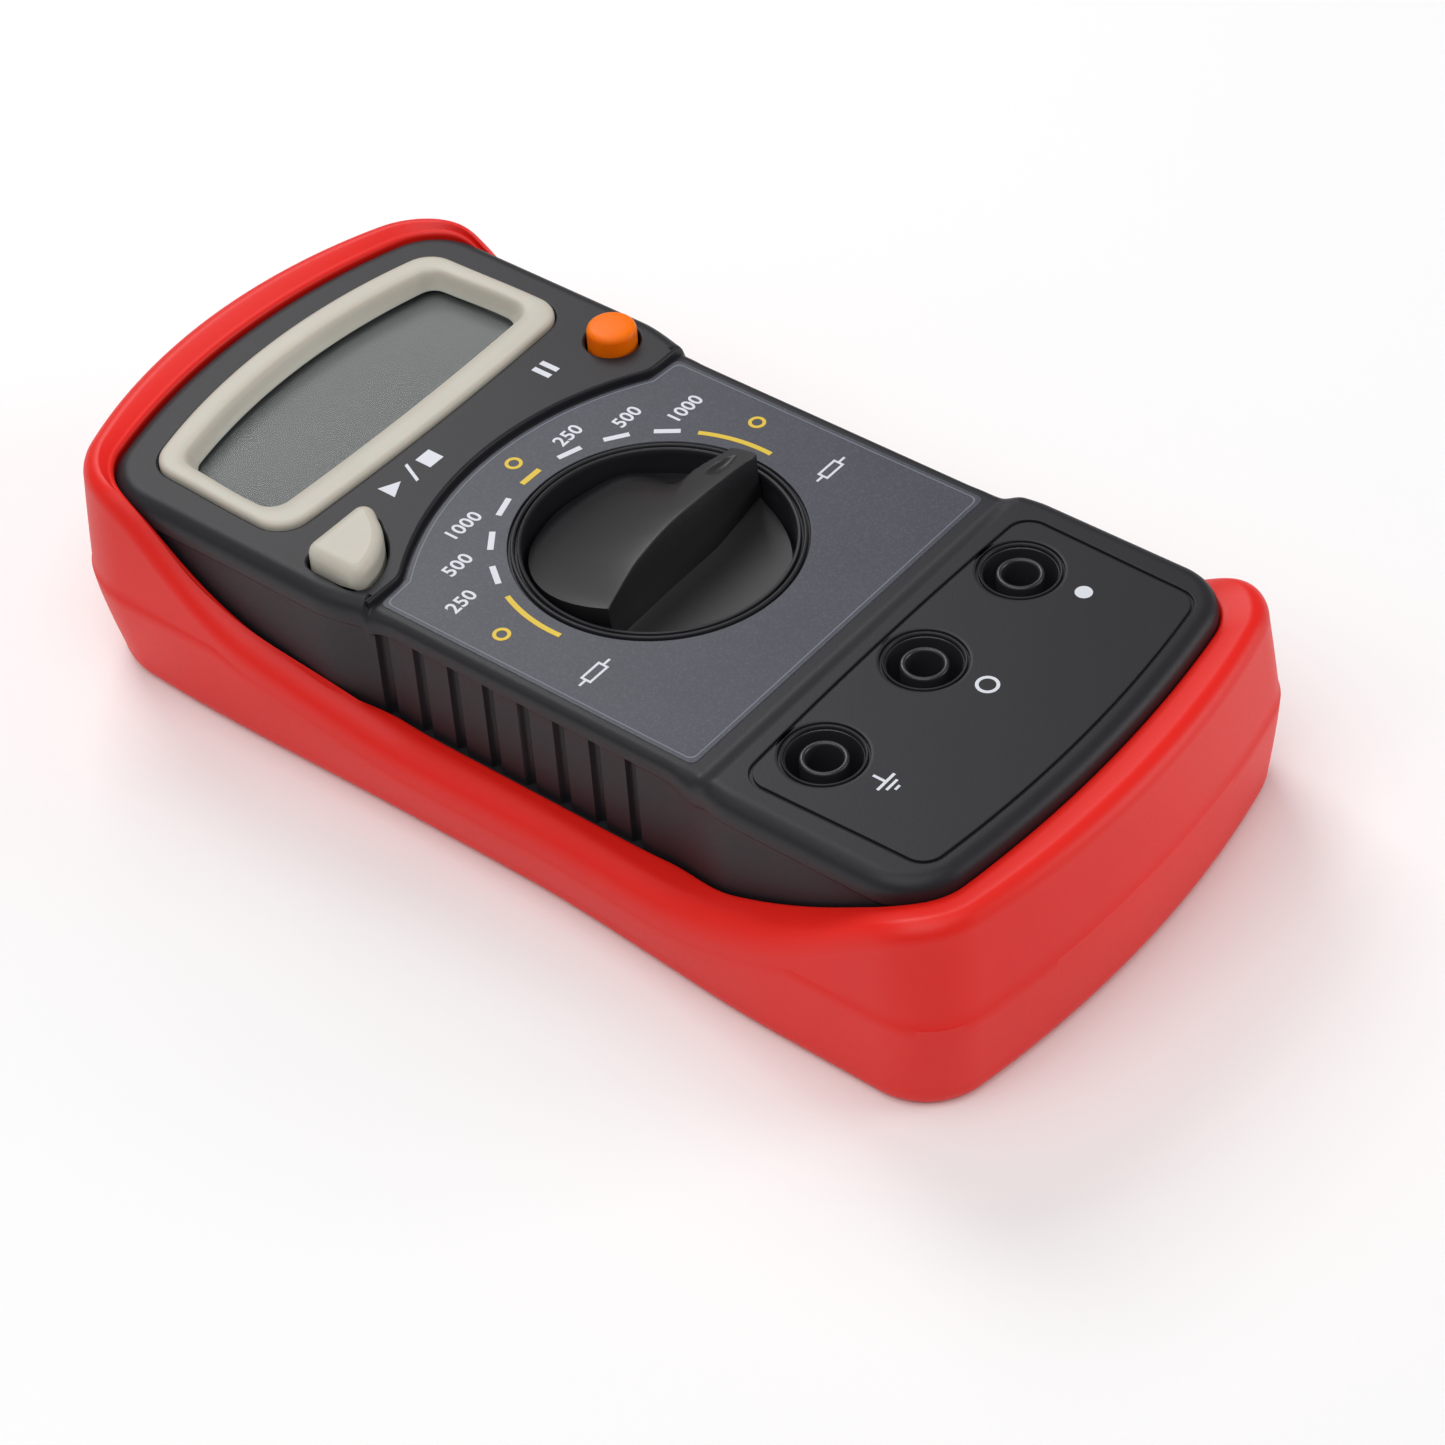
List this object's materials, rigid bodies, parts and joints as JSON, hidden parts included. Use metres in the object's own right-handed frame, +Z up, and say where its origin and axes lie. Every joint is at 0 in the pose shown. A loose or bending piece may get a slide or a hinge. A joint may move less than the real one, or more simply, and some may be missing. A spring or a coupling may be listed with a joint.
{
  "type": "insulation resistance tester",
  "caption": "Pocket insulation resistance tester with blank display, rotary range knob, two push buttons, sockets for test plugs and a red rubber holster with a tilt stand.",
  "frame": {"origin": "on the table, under the middle of the holster", "axes": "+X to the right of a reader, +Y towards the display end, +Z up out of the face; the tester lies on its back"},
  "size_m": [0.069, 0.138, 0.031],
  "materials": {
    "holster_rubber": "satin red moulded rubber with a fine soft grain",
    "case_plastic": "charcoal moulded plastic with a fine spark-eroded grain",
    "label_film": "blue-grey printed film with a faint metallic fleck",
    "cream_plastic": "satin cream moulded plastic",
    "clear_window": "clear glossy window",
    "lcd_glass": "grey-green display glass, blank",
    "white_plastic": "natural white moulded plastic",
    "pink_rubber": "soft conductive strip",
    "board_laminate": "green glass-fibre board with solder mask",
    "ribbon_film": "amber flexible film",
    "gilt_brass": "plated brass, bright",
    "sleeve_plastic": "charcoal insulating plastic",
    "knob_plastic": "black satin moulded plastic",
    "bright_steel": "bright zinc-plated steel",
    "black_plastic": "black moulded plastic",
    "orange_plastic": "bright orange moulded plastic",
    "battery_case": "plain dark painted steel can",
    "lead_vinyl": "red insulated wire",
    "ferrite": "dark grey ferrite",
    "copper_wire": "enamelled copper wire",
    "capacitor_epoxy": "brown epoxy case",
    "capacitor_sleeve": "dark shrink sleeve",
    "resistor_lacquer": "blue lacquer",
    "blue_plastic": "blue moulded plastic"
  },
  "bodies": {
    "tester": {"holster": "holster_rubber", "front_case": "case_plastic", "rear_case": "case_plastic", "battery_door": "case_plastic", "dial_label": "label_film", "lcd_bezel": "cream_plastic", "lcd_window": "clear_window", "lcd_glass": "lcd_glass", "lcd_holder": "white_plastic", "zebra_strips": "pink_rubber", "display_board": "board_laminate", "display_ribbon": "ribbon_film", "main_board": "board_laminate", "contact_tracks": "gilt_brass", "socket_sleeves": "sleeve_plastic", "socket_contacts": "gilt_brass", "test_switch": "black_plastic", "hold_switch": "black_plastic", "battery": "battery_case", "battery_snap": "black_plastic", "battery_leads": "lead_vinyl", "transformer_core": "ferrite", "transformer_winding": "copper_wire", "boost_capacitors": "capacitor_epoxy", "filter_capacitor": "capacitor_sleeve", "converter_chip": "black_plastic", "divider_resistors": "resistor_lacquer", "trim_pot": "blue_plastic", "board_screws": "bright_steel", "case_screws": "bright_steel", "door_screw": "bright_steel"},
    "knob": {"range_knob": "knob_plastic", "switch_rotor": "white_plastic", "wiper_contacts": "gilt_brass", "detent_balls": "bright_steel", "detent_springs": "bright_steel", "rotor_screw": "bright_steel"},
    "test_key": {"test_button": "cream_plastic", "test_plunger": "white_plastic"},
    "hold_key": {"hold_button": "orange_plastic", "hold_plunger": "white_plastic"},
    "stand": {"tilt_stand": "case_plastic"}
  },
  "joints": [
    {"name": "knob_turn", "type": "hinge", "parent": "tester", "child": "knob", "pos_m": [0, -0.002, 0.0236], "axis": [0, 0, 1], "range_deg": [0, 180]},
    {"name": "test_press", "type": "slide", "parent": "tester", "child": "test_key", "axis": [0, 0, -1], "range_m": [0, 0.0012], "stiffness_N_per_m": 1200},
    {"name": "hold_press", "type": "slide", "parent": "tester", "child": "hold_key", "axis": [0, 0, -1], "range_m": [0, 0.0012], "stiffness_N_per_m": 1200},
    {"name": "stand_tilt", "type": "hinge", "parent": "tester", "child": "stand", "pos_m": [0, 0.022, 0.0022], "axis": [1, 0, 0], "range_deg": [0, 62]}
  ]
}
